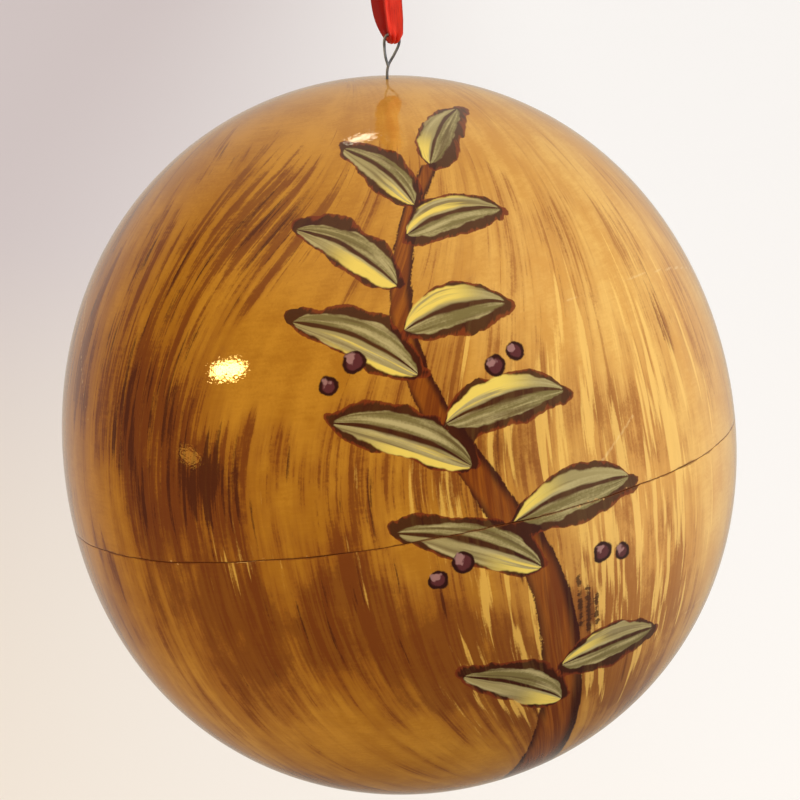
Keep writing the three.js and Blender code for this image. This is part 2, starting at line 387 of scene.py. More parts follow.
plug(tree, shader.inputs, {
    "Base Color": tone, "Roughness": weighed(tree, 0.25, (floats, 0.3)), "Normal": relief,
    "Sheen Weight": 0.25, "Sheen Roughness": 0.35,
})
print("satin threads every", THREAD_GAP_MM, "mm")

# %% [markdown]
# The half shells are surfaces of revolution with the CAD solids' own profile. Spinning a profile
# would do, but then no vertex would know where on the ball it lies. Here each has its angle around
# and its angle down, and all the painting is worked out from those two. The grid is denser at the
# front, where the painting is.

# %% Angles on the ball
AROUND_STEPS = 500
RADIUS_MM = EQUATOR_RADIUS / MM
CROWDING = 0.42  # how much closer together the columns are at the front
even = np.linspace(-math.pi, math.pi, AROUND_STEPS, endpoint=False)
AROUND = even - CROWDING * np.sin(even)


def sphere(around, down):
    """The unit direction at an angle around from the front to the right, and an angle down from
    the upper pole."""
    return np.stack([np.sin(down) * np.sin(around), -np.sin(down) * np.cos(around),
                     np.cos(down)], -1)


def ball_point(around, down, inset=0.0):
    """A point of the ball: its radius times its direction, turned with the ball."""
    radius = np.asarray(ball_radius(down, inset))[..., None]
    return BALL_CENTRE + radius * sphere(around, down) @ BALL_TURN.T


def down_at_height(height, inset=0.0):
    """The angle down at which the outline is at a height along the axis, read off a fine table."""
    table = np.linspace(0, math.pi, 20001)
    heights = ball_radius(table, inset) * np.cos(table)
    return float(np.interp(-height, -heights, table))

# %% [markdown]
# The rims meet in a hairline seam with softly rounded edges. Inside, the lower shell's lip stands
# up into the upper one and holds the two together.

# %% Shell profile
SEAM_GAP = 0.035 * MM
RIM_EASE = 0.08 * MM
LIP_HEIGHT, LIP_DEPTH, LIP_WALL = 5 * MM, 6 * MM, 1.2 * MM
LIP_CLEARANCE, LIP_TAPER = 0.3 * MM, 2.5 * MM
OUTER_RINGS, EASE_RINGS, LIP_RINGS, INNER_RINGS = 151, 4, 6, 15


def shell_rings(upper):
    """Angle down and inset of each ring, from the outer pole over the rim to the inner pole."""
    sign, pole = (1, 0) if upper else (-1, math.pi)
    rim = -SEAM_DROP + sign * SEAM_GAP / 2
    outer = np.linspace(pole, down_at_height(rim + sign * RIM_EASE), OUTER_RINGS + 1)[1:]
    rings = [(angle, 0.0) for angle in outer]
    # The rim's outer edge is a quarter of a circle.
    turns = np.linspace(0, math.pi / 2, EASE_RINGS + 1)[1:]
    edge = [(rim + sign * RIM_EASE * (1 - math.sin(t)), RIM_EASE * (1 - math.cos(t)))
            for t in turns]
    if upper:
        edge += [(rim, WALL)]
    else:
        lip, top, foot = WALL + LIP_CLEARANCE, -SEAM_DROP + LIP_HEIGHT, -SEAM_DROP - LIP_DEPTH
        outside = np.linspace(rim, top, LIP_RINGS)
        inside = np.linspace(top, foot + LIP_TAPER, LIP_RINGS)
        edge += [(height, lip) for height in outside]
        edge += [(height, lip + LIP_WALL) for height in inside] + [(foot, WALL)]
    rings += [(down_at_height(height, inset), inset) for height, inset in edge]
    inner = np.linspace(rings[-1][0], pole, INNER_RINGS + 1)[1:-1]
    return np.array(rings + [(angle, WALL) for angle in inner])

# %% [markdown]
# A nearly dry brush leaves long bristle lines, so the graining needs a direction. The strokes fan
# out from near the wire, and on the left they sweep away from the meridians. Each vertex keeps the
# cosine and sine of its stroke's own angle and the length along the stroke. Noise that is fine
# across and long along those becomes bristle lines, without a seam at the back.

# %% Brush direction
SWEEP_ABOVE, SWEEP_BELOW = 0.8, 0.66
SWEEP_MIDDLE, SWEEP_SPREAD = math.radians(1), math.radians(43)
FAN_RIGHT, FAN_BACK = 0.12, 0.2  # where the strokes fan from, as shares of the radius
TOP_EASE = 0.45  # how much less the sweep is at the top, where strokes would fold over


def grain_field(around, down):
    """Cosine and sine of the angle that stays the same along a stroke, and the length along it in
    radii. The angle is taken about a point behind the upper pole, which moves back to the axis
    with the sixth power of the cosine, less a sweep at the front. The sweep grows with the square
    of the cosine above the middle, and with its fourth power below."""
    cosine = np.cos(down)
    near_top = np.maximum(cosine, 0) ** 6
    right = np.sin(down) * np.sin(around) - FAN_RIGHT * near_top
    front = np.sin(down) * np.cos(around) + FAN_BACK * near_top
    ease = 1 - TOP_EASE * np.maximum(cosine, 0) ** 8
    sweep = np.where(cosine > 0, SWEEP_ABOVE * ease * cosine**2, SWEEP_BELOW * cosine**4)
    side = bell((around - SWEEP_MIDDLE) / SWEEP_SPREAD)
    angle = np.arctan2(right, front) - sweep * side
    return np.cos(angle), np.sin(angle), ball_radius(down) * down / EQUATOR_RADIUS

# %% [markdown]
# The painter grained some places more than others. These tables say where, read off the real ball:
# each row is a soft round patch, and the patches add up. A painted mask would do the same, but a
# table can be changed one patch at a time.

# %% Where the browns lie
# Brown patches: around, down and spread in degrees, weight of the glaze, weight of the lines.
WASHES = [
    (-32, 54, 20, 0.06, 0.22), (-16, 42, 9, -0.02, 0.24), (-34, 26, 12, -0.12, 0.12),
    (-4, 18, 9, -0.10, 0.10), (-60, 54, 20, 0.22, 0.22), (-56, 73, 16, 0.20, 0.16),
    (-35, 76, 12, 0.30, 0.30), (-29, 85, 8, 0.26, 0.36), (-41, 88, 8, 0.20, 0.22),
    (-12, 63, 8, -0.50, -0.45), (-25, 64, 7, 0.05, -0.20), (-35, 103, 15, 0.54, 0.14),
    (-54, 116, 14, 0.02, 0.02), (-30, 116, 12, 0.22, 0.08), (1, 107, 9, 0.42, 0.26),
    (4, 115, 9, 0.48, 0.04), (9, 85, 9, 0.26, 0.22), (15, 94, 8, 0.16, 0.28),
    (21, 102, 6, 0.20, 0.34), (26, 112, 5, 0.06, 0.44), (32, 119, 12, 0.20, 0.05),
    (25, 127, 15, 0.42, 0.12), (48, 126, 15, 0.32, 0.12), (42, 88, 10, 0.34, 0.08),
    (43, 106, 16, 0.46, 0.12), (30, 78, 7, 0.24, 0.05), (21, 81, 8, 0.20, 0.14),
    (9, 129, 10, 0.14, 0.14), (-14, 109, 10, 0.20, 0.10), (66, 107, 15, -0.34, -0.16),
    (60, 74, 12, 0.18, 0.20), (66, 56, 12, 0.10, 0.18), (42, 54, 12, 0.12, 0.12),
    (-6, 86, 10, 0.22, 0.24), (-12, 99, 9, 0.28, 0.20), (20, 12, 12, -0.10, -0.30),
    (-110, 70, 30, 0.28, 0.26), (-140, 112, 32, 0.32, 0.20), (180, 80, 30, 0.10, 0.16),
    (130, 115, 30, 0.22, 0.20), (105, 60, 25, 0.12, 0.16), (-88, 108, 22, 0.18, 0.14),
]
GLAZE_BASE, LINE_BASE = 0.30, 0.26
# Where short pale dashes cross the brown: around, down, spread, weight.
DASHES = [
    (17, 84, 15, 1.0), (4, 92, 10, 0.5), (26, 104, 13, 0.8), (-26, 96, 7, 0.8), (42, 82, 17, 1.0),
    (44, 106, 15, 1.0), (40, 124, 14, 0.7), (46, 60, 14, 0.5), (9, 108, 8, 0.5),
    (14, 124, 15, 0.8), (70, 84, 16, 0.5), (130, 90, 24, 0.5), (-130, 84, 20, 0.5),
]
# Where the ground is paler: the right, the top, the lower left and the far side. On the right
# and the top the paler ground is partly painted light, where the window light falls.
PALE_AND_LIT = [
    (62, 70, 34, 0.85), (44, 100, 22, 0.55), (60, 120, 30, 0.5), (60, 30, 24, 0.4),
    (150, 80, 50, 0.5), (30, 62, 18, 0.35), (-52, 126, 19, 0.36),
]


def patch_sum(patches, around, down):
    """Bell-shaped patches added up, by the angle between each point and the patch's centre."""
    total = np.zeros(around.shape)
    for centre, height, spread, weight in np.radians(patches) * [1, 1, 1, 180 / math.pi]:
        cosine = (np.cos(down) * np.cos(height)
                  + np.sin(down) * np.sin(height) * np.cos(around - centre))
        total += weight * bell(np.arccos(np.clip(cosine, -1, 1)) / spread)
    return total


def brown_load(base, column, around, down):
    """A base weight that sways a little, plus one column of the brown patches, from 0 to 1."""
    sway = 0.04 * np.sin(3 * around + 1) * np.sin(2 * down)
    patches = [(*wash[:3], wash[column]) for wash in WASHES]
    return np.clip(base + sway + patch_sum(patches, around, down), 0, 1)


def ground_fields(around, down):
    """How pale the ground is, and the loads of the dashes, the lines and the glaze. A load is
    weighed so that with the noises of the graining it crosses the step where paint takes."""
    pale, dashes = (np.clip(patch_sum(p, around, down), 0, 1) for p in (PALE_AND_LIT, DASHES))
    glaze = 0.95 * brown_load(GLAZE_BASE, 3, around, down) - 0.44
    lines = 0.95 * brown_load(LINE_BASE, 4, around, down) - 0.42
    return pale, 0.40 * dashes - 0.42, lines, glaze

# %% [markdown]
# Age and making left marks: specks under the varnish, three short scratches, and faint lines at
# the edges of the pasted paper strips. Strips and scratches are arcs of great circles, so one
# function measures how far a point lies from such an arc. The leaves use it too.

# %% Specks, strips and scratches
# Specks: around and down in degrees, radius in mm.
SPECKS = [(-52, 106, 0.16), (25, 138, 0.28), (60, 63, 0.14), (-20, 124, 0.12), (140, 100, 0.2)]
# Arcs from one place to another: around and down of each, in degrees.
STRIPS = [(36, 64, 88, 70), (30, 92, 42, 84), (150, 70, 200, 64), (56, 122, 100, 112),
          (-84, 48, -60, 74)]
SCRATCHES = [(26.2, 106.5, 26.8, 115), (27.9, 108.5, 28.4, 116.5), (29.6, 110.5, 30, 115.5)]


def from_arc(p, arc):
    """Where directions lie by an arc of a great circle: along it, from 0 to 1 at its ends, then off
    to its side and past its nearer end, in mm. Off is the arc sine of the height over the plane."""
    a0, d0, a1, d1 = np.radians(arc)
    first, last = sphere(a0, d0), sphere(a1, d1)
    pole = unit(np.cross(first, last))
    length = math.acos(first @ last)
    along = np.arctan2(p @ np.cross(pole, first), p @ first) / length
    off = np.arcsin(np.clip(p @ pole, -1, 1)) * RADIUS_MM
    past = np.maximum(np.maximum(-along, along - 1), 0) * length * RADIUS_MM
    return along, off, past


def mark_fields(around, down):
    """Distances in mm outside the nearest speck, to the nearest strip edge and to the nearest
    scratch."""
    p = sphere(around, down)
    specks = [np.linalg.norm(p - sphere(*np.radians([a, d])), axis=-1) * RADIUS_MM - radius
              for a, d, radius in SPECKS]
    arcs = [[np.hypot(*from_arc(p, arc)[1:]) for arc in group] for group in (STRIPS, SCRATCHES)]
    return [np.clip(np.min(distances, 0), -1, 2) for distances in (specks, *arcs)]

# %% [markdown]
# The painted sprig is a brown stem with dark edges, lens-shaped leaves in pairs and a few berries.
# Each vertex gets its distance from the nearest leaf, stem and berry, and its place on that leaf,
# and the paint is laid by those. Cutting the shapes into the mesh would give hard edges, where a
# brush leaves soft and ragged ones.

# %% Sprig: layout
# Middle of the stem from its foot up, around and down in degrees.
STEM = [(31, 163), (27, 150), (25, 134), (23.5, 120), (21, 107), (17, 95), (12, 84), (7.5, 73),
        (6, 62), (8.5, 52), (14, 43), (22, 36)]
STEM_HALF_LOW, STEM_HALF_HIGH = 3.05, 0.7  # mm
STEM_LIGHT = 0.12  # the stem's light lies off its middle by this share of the half width
FOOT_DRAG = 0.15  # the brush ran dry at the foot, so its end is this much less sharp
# Foot and tip of each leaf, around and down in degrees, then its bend and half width in mm.
LEAVES = [
    (22, 36, 47, 25, 0.6, 1.9), (14, 43, 0, 29, -0.6, 1.9),
    (10.5, 48, 32, 47, 0.9, 2.1), (6.5, 56, -12, 44, -0.8, 2.1),
    (6.0, 63, 25, 62, 1.0, 2.3), (7.0, 70, -13, 59, -1.0, 2.3),
    (9.5, 78, 30, 77, 1.0, 2.4), (12.5, 85, -8, 75, -1.1, 2.4),
    (17.5, 95, 39, 93, 1.0, 2.4), (20.0, 103, -1, 93, -1.0, 2.4),
    (23.5, 121.5, 45, 121, 1.0, 2.3), (24.5, 129, 5, 119, -1.0, 2.3),
]
# Berries: around and down in degrees, radius in mm.
BERRIES = [(-3, 66.5, 1.15), (-7.5, 69.5, 1.0), (19.5, 71, 1.1), (23.5, 69.5, 0.95),
           (7.5, 99.5, 1.1), (3.5, 101.5, 0.95), (31, 103.5, 1.1), (35, 104.5, 0.95)]
print("sprig:", len(LEAVES), "leaves,", len(BERRIES), "berries")

# %% [markdown]
# A leaf lies along a great circle from its foot to its tip. Where leaves or berries come close to
# each other, each vertex keeps the nearest one.

# %% Sprig: distances
def leaf_fields(around, down):
    """For the nearest leaf: along it from 0 to 1, across it from -1 to 1, the distance outside its
    edge in mm, and its own number from 0 to 1. The half width is a power of four times along times
    one less along, a little fuller near the foot."""
    p = sphere(around, down)
    leaves = []
    for number, (*arc, bend, half) in enumerate(LEAVES):
        along, off, past = from_arc(p, arc)
        inside = np.clip(along, 0, 1)
        arch = 4 * inside * (1 - inside)
        across = off - bend * arch
        width = half * arch**0.62 * (1.18 - 0.36 * inside)
        outside = np.where(past > 0, np.hypot(past, across), np.abs(across) - width)
        own_number = np.full(along.shape, number * 0.37 % 1)
        leaves.append([along, across / np.maximum(width, 0.25), outside, own_number])
    leaves = np.array(leaves)
    nearest = leaves[:, 2].argmin(0)
    along, across, outside, own_number = np.take_along_axis(leaves, nearest[None, None], 0)[0]
    return along, np.clip(across, -3, 3), outside, own_number


def stem_fields(around, down):
    """How far from the stem's light, from 0 to about 1 at its edges, and the distance outside it in
    mm: the angle from its middle at the same height, times the radius there and the cosine of the
    middle's slope."""
    top, foot = math.radians(STEM[-1][1]), math.radians(STEM[0][1])
    line = smooth_line(np.radians(STEM), 240)[::-1]
    centre = np.interp(down, line[:, 1], line[:, 0])
    slope = np.interp(down, line[:, 1], np.gradient(line[:, 0], line[:, 1]))
    lean = 1 / np.hypot(1, slope * np.sin(down))
    across = (around - centre) * np.sin(down) * RADIUS_MM * lean
    half = np.interp(down, [top, foot], [STEM_HALF_HIGH, STEM_HALF_LOW])
    past = np.maximum(np.maximum(top - down, FOOT_DRAG * (down - foot)), 0) * RADIUS_MM
    aside = np.abs(across) - half
    outside = np.where((past > 0) | (aside > 0), np.hypot(np.maximum(aside, 0), past), aside)
    return np.abs(np.clip(across / half, -4, 4) + STEM_LIGHT), outside


def berry_fields(around, down):
    """Distance outside the nearest berry in mm, and the distance to its light in its radii. The
    light lies up and to the left."""
    p = sphere(around, down)
    berries = []
    for a, d, radius in BERRIES:
        places = [(a, d), (a - 0.5 * radius, d - 0.6 * radius)]
        berry, light = (np.arccos(np.clip(p @ sphere(*np.radians(place)), -1, 1)) * RADIUS_MM
                        for place in places)
        berries.append([berry - radius, light / radius])
    berries = np.array(berries)
    nearest = berries[:, 0].argmin(0)
    return np.take_along_axis(berries, nearest[None, None], 0)[0]

# %% [markdown]
# The joint was cut by hand, so both rims wander alike by some hundredths of a millimetre, and the
# lower one has tiny nicks. The lower half sits a little way round from where it was painted, which
# shifts the painting across the seam.

# %% Shell meshes
WIRE_ENTRY = np.array([-SHANK_OFFSET, 0, BOW_TOP - EYE_RISE])
HALF_TURN = math.radians(1.1)
SEAM_REACH = 0.9 * MM  # how far from the seam the hand-cut edge shows
# How the rims wander: size in mm, waves round the ball, start in radians. Then the nicks' size.
WANDER = [(0.07, 4, 1), (0.05, 11, 0), (0.03, 29, 0)]
NICK = 0.05


def make_shell(name, upper):
    """The profile's rings carried round the axis, closed on an outer and an inner pole."""
    rings = shell_rings(upper)
    pole = 0.0 if upper else math.pi
    around = np.r_[np.tile(AROUND, len(rings)), 0, 0]
    down = np.r_[rings[:, 0].repeat(AROUND_STEPS), pole, pole]
    inset = np.r_[rings[:, 1].repeat(AROUND_STEPS), 0, WALL]
    height = ball_radius(down, inset) * np.cos(down) + SEAM_DROP
    near_seam = bell(height / SEAM_REACH) * (inset < WALL / 2)
    wander = sum(size * np.sin(waves * around + start) for size, waves, start in WANDER)
    if not upper:
        wander -= NICK * np.maximum(np.sin(17 * around + 2) * np.sin(5 * around), 0) ** 2
    points = ball_point(around, down, inset) + (wander * MM * near_seam)[:, None] * ball_axis
    painted = around - (0 if upper else HALF_TURN)
    *leaf, leaf_number = leaf_fields(painted, down)
    *ground, glaze = ground_fields(painted, down)
    entry = np.linalg.norm(points - WIRE_ENTRY, axis=1) / MM
    fields = {
        "grain": grain_field(painted, down), "ground": ground, "leaf": leaf,
        "stem": (*stem_fields(painted, down), leaf_number),
        "berry": (*berry_fields(painted, down), glaze),
        "mark": mark_fields(painted, down), "rim": (np.abs(height) / MM, inset / MM, entry),
    }
    faces = quads_and_poles(len(rings), AROUND_STEPS)
    piece = new_piece(name, points, faces, fields)
    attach(piece, "root")
    print(name, "encloses cm3:", round(abs(enclosed(points, faces)) * 1e6, 2))
    return piece


upper_shell = make_shell("painted_upper_shell", True)
lower_shell = make_shell("painted_lower_shell", False)
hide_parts("upper_shell")
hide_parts("lower_shell")

# %% [markdown]
# The finish is built in the order in which it was painted: ochre ground, brown glaze dragged dry,
# the sprig, and gloss varnish over all. The ground is deep ochre on the left and paler on the
# right, with soft variants of the same mix and the paper's fibre in it. The paler right and top
# are partly painted light, where the window light from the upper right falls.

# %% Material: ochre ground
tree, shader = new_material("gloss varnish over grained ochre paint on papier-mache",
                            upper_shell, lower_shell)
field = {}
for name in ("grain", "leaf", "stem", "berry", "ground", "mark", "rim"):
    vector = node(tree, "Attribute", {}, "Vector", attribute_name=name)
    field[name] = [vector, *node(tree, "SeparateXYZ", {0: vector}, None)]
on_ball = node(tree, "TexCoord", {}, "Object")
SEED_STEP = np.array([7.3, 3.1, 11.7])  # how far apart the noises of two seeds are taken


def bristles(width_mm, length_mm, seed, detail=2.0):
    """Noise of about this width across the brush stroke and this length along it."""
    sizes = np.array([width_mm, width_mm, length_mm]) / RADIUS_MM
    return pattern(tree, field["grain"][0], sizes, list(seed * SEED_STEP), detail, 0.6)


def speckle(size_mm, detail=2.0):
    """Noise of about this size in every direction."""
    return pattern(tree, on_ball, [size_mm * MM] * 3, detail=detail, roughness=0.6)


fine, medium, broad = bristles(0.46, 13, 1, 3), bristles(1.7, 22, 2, 3), bristles(4.5, 26, 3)
patchy, crosswise = bristles(9.0, 14, 4, 4), bristles(2.4, 0.32, 12, 1)
fibre, cloud = speckle(0.28), speckle(7, 4)
_, pale, dash_load, line_load = field["ground"]
mixed = cover(tree, -0.2, 0.2, 0.0, (broad, 0.6), (cloud, 0.8), (fibre, 0.25), (crosswise, 0.2))
# Where the ground is pale on the right and the top, it is partly painted light from the window.
pale_ochre = over(tree, "d39b4a", ("e4b460", mixed))
colour = over(tree, "a2680e", ("ba801e", mixed), (pale_ochre, pale))
print("ground nodes:", len(tree.nodes))

# %% [markdown]
# A thin glaze lies in soft patches with streaked edges and pools darker where it is thickest. Then
# come bristle lines, broken by the paper's grain, and the last and darkest touches. At the end a
# clean brush dragged the ochre back in pale dashes. Each tone is mixed paler where the ground is
# pale, so the painted light on the right and the top lightens the browns as well.

# %% Material: graining
glaze_load = field["berry"][3]
drift = summed(tree, glaze_load, (patchy, 1.2), (medium, 0.7), (cloud, 0.5), (fibre, 0.25))
drawn = cover(tree, -0.14, 0.10, 0.0, (fine, 1.0), (medium, 0.5), (crosswise, 0.2))
streaked = weighed(tree, 0.55, (drawn, 0.45))
dragged = cover(tree, 0.04, 0.24, line_load, (fine, 1.15), (medium, 1.15), (patchy, 0.9),
                (fibre, 0.16), (crosswise, 0.22))
fainter = weighed(tree, 1.0, (pale, -0.35))
lines = node(tree, "Math", {0: dragged, 1: fainter}, operation="MULTIPLY")
touches = cover(tree, 0.24, 0.42, line_load, (bristles(0.6, 13, 5, 3), 1.2),
                (bristles(2.2, 16, 6), 1.0), (patchy, 0.7), (fibre, 0.16))
dashes = cover(tree, -0.02, 0.13, dash_load, (bristles(1.7, 17, 7), 1.5),
               (bristles(0.5, 9, 9), 0.6), (fibre, 0.12))
# Each tone, its mix on the pale ground, and how far it covers.
for tone, pale_tone, *shares in [
    ("824408", "bd823c", cover(tree, -0.20, 0.16, drift), streaked, 0.8),
    ("6e3604", "97571c", cover(tree, 0.10, 0.34, drift), 0.7),
    ("6f3404", "a0652a", lines, 0.72),
    ("431602", "83491a", touches, 0.8),
    ("d9aa48", "eec168", dashes, 0.75),
]:
    colour = over(tree, colour, (over(tree, tone, (pale_tone, pale)), *shares))
print("nodes with the graining:", len(tree.nodes))

# %% [markdown]
# The marks lie under the varnish. A scratch is broken into short rungs, as a dry scrape over the
# paper's grain is.

# %% Material: marks of age and making
to_speck, to_strip, to_scratch = field["mark"][1:]
strip_edge = cover(tree, 0.20, 0.04, to_strip, (fibre, 0.2), (cloud, 0.5))
speck = cover(tree, 0.05, -0.05, to_speck, (fibre, 0.2))
rungs = bristles(1.6, 0.5, 13)
scratch = cover(tree, 0.34, 0.14, to_scratch, (rungs, 0.9), (fibre, 0.3))
colour = over(tree, colour, ("efd091", strip_edge, 0.30), ("2c1206", speck, 0.9),
              ("3a1b07", scratch, 0.85))

# %% [markdown]
# The stem is one loaded stroke: brown in the middle with darker and lighter drags, and near-black
# edges that fade inwards. Its own edge is ragged by the bristles.

# %% Material: stem
from_light, outside_stem, leaf_number = field["stem"][1:]
ragged = bristles(0.8, 5, 6, 3)
drags = cover(tree, -0.15, 0.15, 0.0, (medium, 1.0), (fine, 0.7))
stem_edge = cover(tree, 0.45, 1.0, from_light, (medium, 0.9), (fine, 0.4))
stem_tone = over(tree, "6b2d02", ("8e4c0a", drags), ("360802", stem_edge))
stem = cover(tree, 0.16, -0.02, outside_stem, (ragged, 0.8), (fibre, 0.35))
colour = over(tree, colour, (stem_tone, stem, 0.96))

# %% [markdown]
# A leaf takes three goes: a loose dark ground that is heavier on one side, two grey-green strokes
# with the ground showing between them as a vein, and on some leaves a yellow light near the foot.

# %% Material: leaves
leaf_place, leaf_along, leaf_across, outside_leaf = field["leaf"]


def leaf_strokes(width, length, seed):
    """Noise along the nearest leaf: width is a share of its half width, length of its length. The
    leaf's number shifts it, so that no two leaves are alike."""
    by_leaf = node(tree, "Math", {0: leaf_number, 1: 9.0}, operation="MULTIPLY")
    shift = node(tree, "CombineXYZ", {"X": seed, "Y": seed * 2.7, "Z": by_leaf})
    return pattern(tree, leaf_place, (length, width, math.inf), shift, 3.0)


heavier = weighed(tree, outside_leaf, (leaf_across, 0.22))
loose = summed(tree, heavier, (speckle(4.5, 1), 2.2), (speckle(1.2), 0.5), (medium, 0.5))
thick = cover(tree, 0.50, 0.15, loose, (medium, 1.2), (fine, 0.8))
backing = over(tree, "6e2a0a", ("351004", thick))

off_vein = summed(tree, leaf_across, (leaf_strokes(0.9, 0.5, 1.0), 0.5))
from_vein = node(tree, "Math", {0: off_vein}, operation="ABSOLUTE")
vein_gap = weighed(tree, from_vein, (leaf_along, -0.10))
edge = summed(tree, outside_leaf, (speckle(2.6, 1), 1.1), (speckle(0.8, 1), 0.3))
streaky = cover(tree, 0.34, 0.50, leaf_strokes(0.28, 0.8, 2.0))
lighter = cover(tree, -0.10, 0.22, 0.0, (leaf_strokes(0.3, 0.6, 4.0), 1.0), (fibre, 0.2))
green = over(tree, "75683a", ("9c8d5a", cover(tree, -0.12, 0.12, leaf_across)),
             ("b3a470", lighter))

spread = node(tree, "Math", {0: leaf_number, 1: 3.3}, operation="MULTIPLY")
lit = cover(tree, 0.3, 0.4, node(tree, "Math", {0: spread}, operation="FRACT"))
near_foot = weighed(tree, leaf_along, (lit, -0.35))
dabbed = cover(tree, 0.36, 0.50, leaf_strokes(0.35, 0.9, 7.0))
colour = over(
    tree, colour, (backing, cover(tree, 0.60, 0.48, loose), 0.93),
    (green, cover(tree, -0.10, -0.34, edge), cover(tree, 0.02, 0.14, vein_gap),
     weighed(tree, 0.55, (streaky, 0.45)), 0.95),
    ("dfc45a", cover(tree, 0.16, 0.34, off_vein), cover(tree, 0.5, 0.12, near_foot), dabbed,
     cover(tree, 0.0, -0.3, edge)))

# %% [markdown]
# A berry is a dark plum dab with a violet-pink light brushed on it. Along the joint a darker brown
# line is painted, as painted shade for the hairline gap between the halves, with a few pale chips,
# and a dark ring marks where the wire goes in. Inside, the pasted paper is bare.

# %% Material: berries, seam and inside
outside_berry, from_spot = field["berry"][1:3]
to_seam, depth_in, to_wire = field["rim"][1:]
dab = summed(tree, outside_berry, (speckle(1.5, 1), 0.7), (fibre, 0.15))
spot = cover(tree, 0.6, 0.35, from_spot, (speckle(0.8, 1), 1.2), (fibre, 0.2))
# A darker brown line along the joint: painted shade for the hairline gap between the halves.
joint_painted_shade = cover(tree, 0.17, 0.02, to_seam, (bristles(1.8, 1.5, 8, 3), 0.5))
chips = cover(tree, 0.14, 0.2, 0.0, (bristles(1.1, 1.2, 10), 1.0))
colour = over(
    tree, colour, ("2e0c06", cover(tree, 0.22, 0.02, dab)),
    ("5d2a2c", cover(tree, -0.15, -0.4, dab), 0.8), ("a0756f", spot, 0.8),
    ("6b330c", joint_painted_shade, 0.65), ("c99a5c", chips, cover(tree, 0.30, 0.22, to_seam), 0.7),
    ("5a300e", cover(tree, 0.55, 0.3, to_wire), 0.7), ("b9a487", cover(tree, 0.3, 0.6, depth_in)))
print("nodes in the painting:", len(tree.nodes))

# %% [markdown]
# Varnish over paint gives the depth: the coat mirrors the room sharply while the paint below stays
# matt, and towards the outline its reflection whitens the colour. One glossy paint would lose
# that. The brush left ridges in the paint, and the varnish has its own slow swell and a fine
# orange peel, which break up the edges of every highlight.

# %% Material: gloss varnish
ridges = weighed(tree, strip_edge, (fibre, 1.0), (fine, 0.5), (lines, 0.5))
paint = node(tree, "Bump", {"Strength": 0.5, "Distance": 0.02 * MM, "Height": ridges})
swell = node(tree, "Bump", {"Strength": 1.0, "Distance": 0.014 * MM, "Height": speckle(2.2)})
peel = node(tree, "Bump", {"Strength": 1.0, "Distance": 0.0085 * MM, "Height": speckle(0.38),
                           "Normal": swell})
plug(tree, shader.inputs, {
    "Base Color": colour, "Roughness": 0.5, "Specular IOR Level": 0.08, "Normal": paint,
    "Coat Weight": 1.0, "Coat Roughness": 0.03, "Coat IOR": 1.5, "Coat Normal": peel,
})
print("nodes with the varnish:", len(tree.nodes))

# %% [markdown]
# The wire eye is drawn steel, 0.32 mm thick, bent with small pliers: a foot inside the shell, a
# shank up through the hole, a drop-shaped bow, and the end back down in front of the shank. Its
# middle line takes the same shares as the CAD wire, and a circle is carried along it.

# %% Wire eye
WIRE_RADIUS = 0.16 * MM
BOW_HALF = 0.87 * MM
FOOT_LENGTH, FOOT_RADIUS, FOOT_LOW = 2.4 * MM, 0.6 * MM, -2.64 * MM
TAIL_FRONT = -0.38 * MM
WIRE_STEPS, WIRE_SIDES = 260, 20
# Foot, as shares of its length and its bend's radius to the right, and of that radius up.
foot_bend = np.array([[1, 0, 0], [0.6, 0, 0], [0, 0.8, 1 / 30], [0, 0.15, 0.6], [0, 0, 1.5]])
# Shank and bow, as shares of the shank's offset and the bow's half width to the right, of the way
# to the tail's front, and of the eye's rise.
bow_bend = np.array([
    [-1, 0, 0, 0], [-0.9, 0, 0, 0.22], [-0.5, 0, 0, 0.36], [0, 0.2, 0, 0.52], [0, 0.76, 0, 0.7],
    [0, 1, 0, 0.85], [0, 0.72, 0, 0.96], [0, 0, 0, 1], [0, -0.72, 0, 0.96], [0, -1, 0, 0.85],
    [0, -0.99, 0.25, 0.68], [0, -0.88, 0.7, 0.5], [-0.92, 0, 1, 0.36], [-0.72, 0, 1.05, 0.27],
])
foot = np.c_[foot_bend[:, :2] @ [FOOT_LENGTH, FOOT_RADIUS] - SHANK_OFFSET,
             0 * foot_bend[:, 0], FOOT_LOW + FOOT_RADIUS * foot_bend[:, 2]]
bow = np.c_[bow_bend[:, :2] @ [SHANK_OFFSET, BOW_HALF], TAIL_FRONT * bow_bend[:, 2],
            EYE_RISE * bow_bend[:, 3]]
wire_line = smooth_line(np.vstack([foot, bow]), WIRE_STEPS) + [0, 0, BOW_TOP - EYE_RISE]
# The circle's axes are the world's Y made square to the line, and the one square to both.
forward = unit(np.gradient(wire_line, axis=0))
first = unit([0, 1, 0] - forward[:, 1:2] * forward)
second = np.cross(forward, first)
a = np.linspace(0, 2 * math.pi, WIRE_SIDES, endpoint=False)[:, None]
circle = np.cos(a) * first[:, None] + np.sin(a) * second[:, None]
steps = np.arange(WIRE_STEPS)
from_end = np.minimum(steps, steps[::-1])
end_round = np.sqrt(1 - (1 - np.clip((from_end + 0.4) / 3, 0, 1)) ** 2)
plier_marks = 1 - 0.03 * np.sin(steps * 0.35) ** 8
radius = WIRE_RADIUS * end_round * plier_marks
ring = wire_line[:, None] + radius[:, None, None] * circle
points = np.vstack([ring.reshape(-1, 3), wire_line[:1], wire_line[-1:]])
wire = new_piece("bent_wire_eye", points, quads_and_poles(WIRE_STEPS, WIRE_SIDES))
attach(wire, "root")
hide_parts("wire_eye")

# %% [markdown]
# Drawn steel has fine lines along it from the die, and with the years it takes a thin grey oxide.
# The oxide scatters half of the light, so the wire looks dull and grey and not like a mirror.

